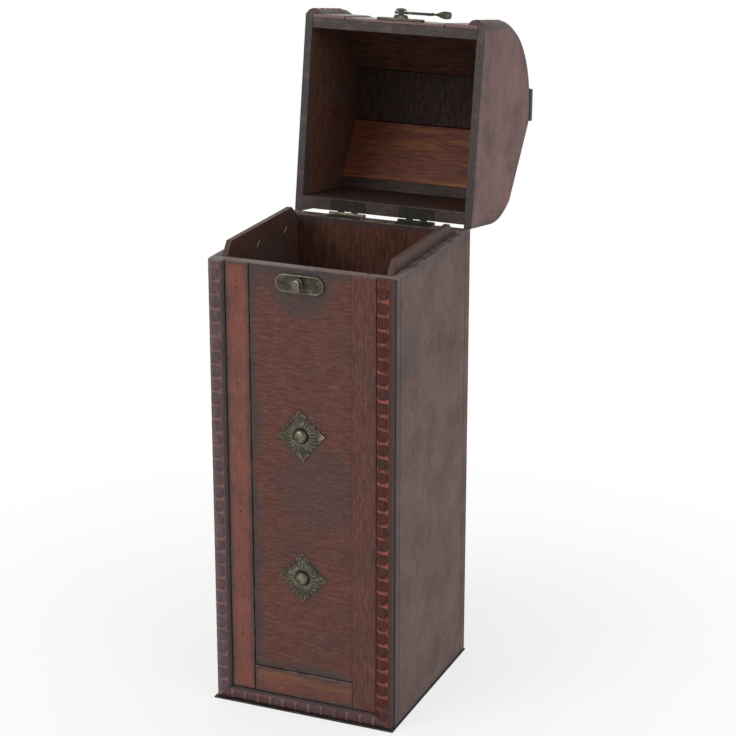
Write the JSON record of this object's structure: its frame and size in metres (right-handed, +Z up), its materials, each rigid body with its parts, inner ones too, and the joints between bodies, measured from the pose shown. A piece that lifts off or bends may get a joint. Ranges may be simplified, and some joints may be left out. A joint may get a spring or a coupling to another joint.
{
  "type": "domed wooden wine box",
  "caption": "Tall wooden box for one bottle, with a barrel-topped hinged lid, carved bead mouldings, stamped rosettes, swing hook latch and strap handle.",
  "frame": {"origin": "middle of the underside of the box, half way between the face of the front slats and the back board", "axes": "+X to the right seen from the front, +Y towards the hinges, +Z up; the lid stands open"},
  "size_m": [0.1092, 0.2364, 0.373],
  "materials": {
    "base_paint": "dark stained, satin",
    "board_inner": "stained, worn satin",
    "board_edge": "stained, rubbed edges",
    "board_back": "stained satin",
    "board_side": "stained satin, grain front to back",
    "liner_wood": "stained satin",
    "stile_wood": "red stain, satin",
    "stile_dark_wood": "dark red stain, satin",
    "rail_wood": "red stain with amber wear, satin",
    "field_wood": "dark red stain, satin",
    "bead_dark_wood": "dark stain, satin",
    "bead_red_wood": "red stain over dark scoops, satin",
    "bead_foot_wood": "dark stain, satin",
    "lid_end_wood": "stained satin with dark edges",
    "lid_wall_wood": "stained satin",
    "lid_slat_dark": "dark stain, satin",
    "lid_slat_wood": "red brown stain, streaked",
    "lid_skin_wood": "stained satin",
    "lid_field_wood": "stained satin",
    "lid_bead_wood": "dark stain, satin",
    "antique_brass": "antique, dull",
    "bright_brass": "antique, rubbed",
    "hook_brass": "antique, rubbed",
    "nail_brass": "antique, rubbed",
    "dark_nails": "darkened",
    "staple_steel": "bright wire",
    "hinge_metal": "dull plated",
    "hinge_pin_metal": "plain",
    "hinge_nail_metal": "dull",
    "strap_leather": "worn, matte",
    "strap_backing": "woven, matte"
  },
  "bodies": {
    "body": {"base_sheet": "base_paint", "bottom_board": "board_inner", "front_board": "board_edge", "back_board": "board_back", "left_side": "board_side", "right_side": "board_side", "left_liner": "liner_wood", "right_liner": "liner_wood", "left_stile": "stile_wood", "right_stile": "stile_dark_wood", "bottom_rail": "rail_wood", "front_field": "field_wood", "left_bead": "bead_dark_wood", "right_bead": "bead_red_wood", "bottom_bead": "bead_foot_wood", "upper_rosette": "antique_brass", "lower_rosette": "antique_brass", "rosette_nails": "nail_brass", "strike_plate": "antique_brass", "strike_stud": "bright_brass", "strike_nails": "dark_nails", "stile_pins": "dark_nails", "back_brads": "dark_nails", "liner_staples": "staple_steel", "left_hinge_body_leaf": "hinge_metal", "left_hinge_pin": "hinge_pin_metal", "right_hinge_body_leaf": "hinge_metal", "right_hinge_pin": "hinge_pin_metal", "hinge_body_nails": "hinge_nail_metal"},
    "lid": {"lid_left_end": "lid_end_wood", "lid_right_end": "lid_end_wood", "lid_front_wall": "lid_wall_wood", "lid_back_wall": "lid_wall_wood", "lid_front_slat": "lid_slat_dark", "lid_middle_slat": "lid_slat_dark", "lid_rear_slat": "lid_slat_wood", "lid_left_strip": "lid_skin_wood", "lid_right_strip": "lid_skin_wood", "lid_field": "lid_field_wood", "lid_left_bead_front": "lid_bead_wood", "lid_left_bead_dome": "lid_bead_wood", "lid_left_bead_rear": "lid_bead_wood", "lid_right_bead_front": "lid_bead_wood", "lid_right_bead_dome": "lid_bead_wood", "lid_right_bead_rear": "lid_bead_wood", "lid_end_brads": "dark_nails", "handle_strap": "strap_leather", "handle_backing": "strap_backing", "handle_tacks": "nail_brass", "latch_plate": "antique_brass", "latch_boss": "antique_brass", "latch_rivet": "antique_brass", "latch_nails": "dark_nails", "left_hinge_lid_leaf": "hinge_metal", "right_hinge_lid_leaf": "hinge_metal", "hinge_lid_nails": "hinge_nail_metal"},
    "latch_hook": {"latch_hook": "hook_brass"}
  },
  "joints": [
    {"name": "lid_hinge", "type": "hinge", "parent": "body", "child": "lid", "pos_m": [0, 0.0563, 0.25815], "axis": [1, 0, 0], "range_deg": [0, 99]},
    {"name": "hook_pivot", "type": "hinge", "parent": "lid", "child": "latch_hook", "pos_m": [0.0015, 0.08076, 0.37071], "axis": [0, 0.1564, 0.9877], "range_deg": [-100.4, 60]}
  ]
}
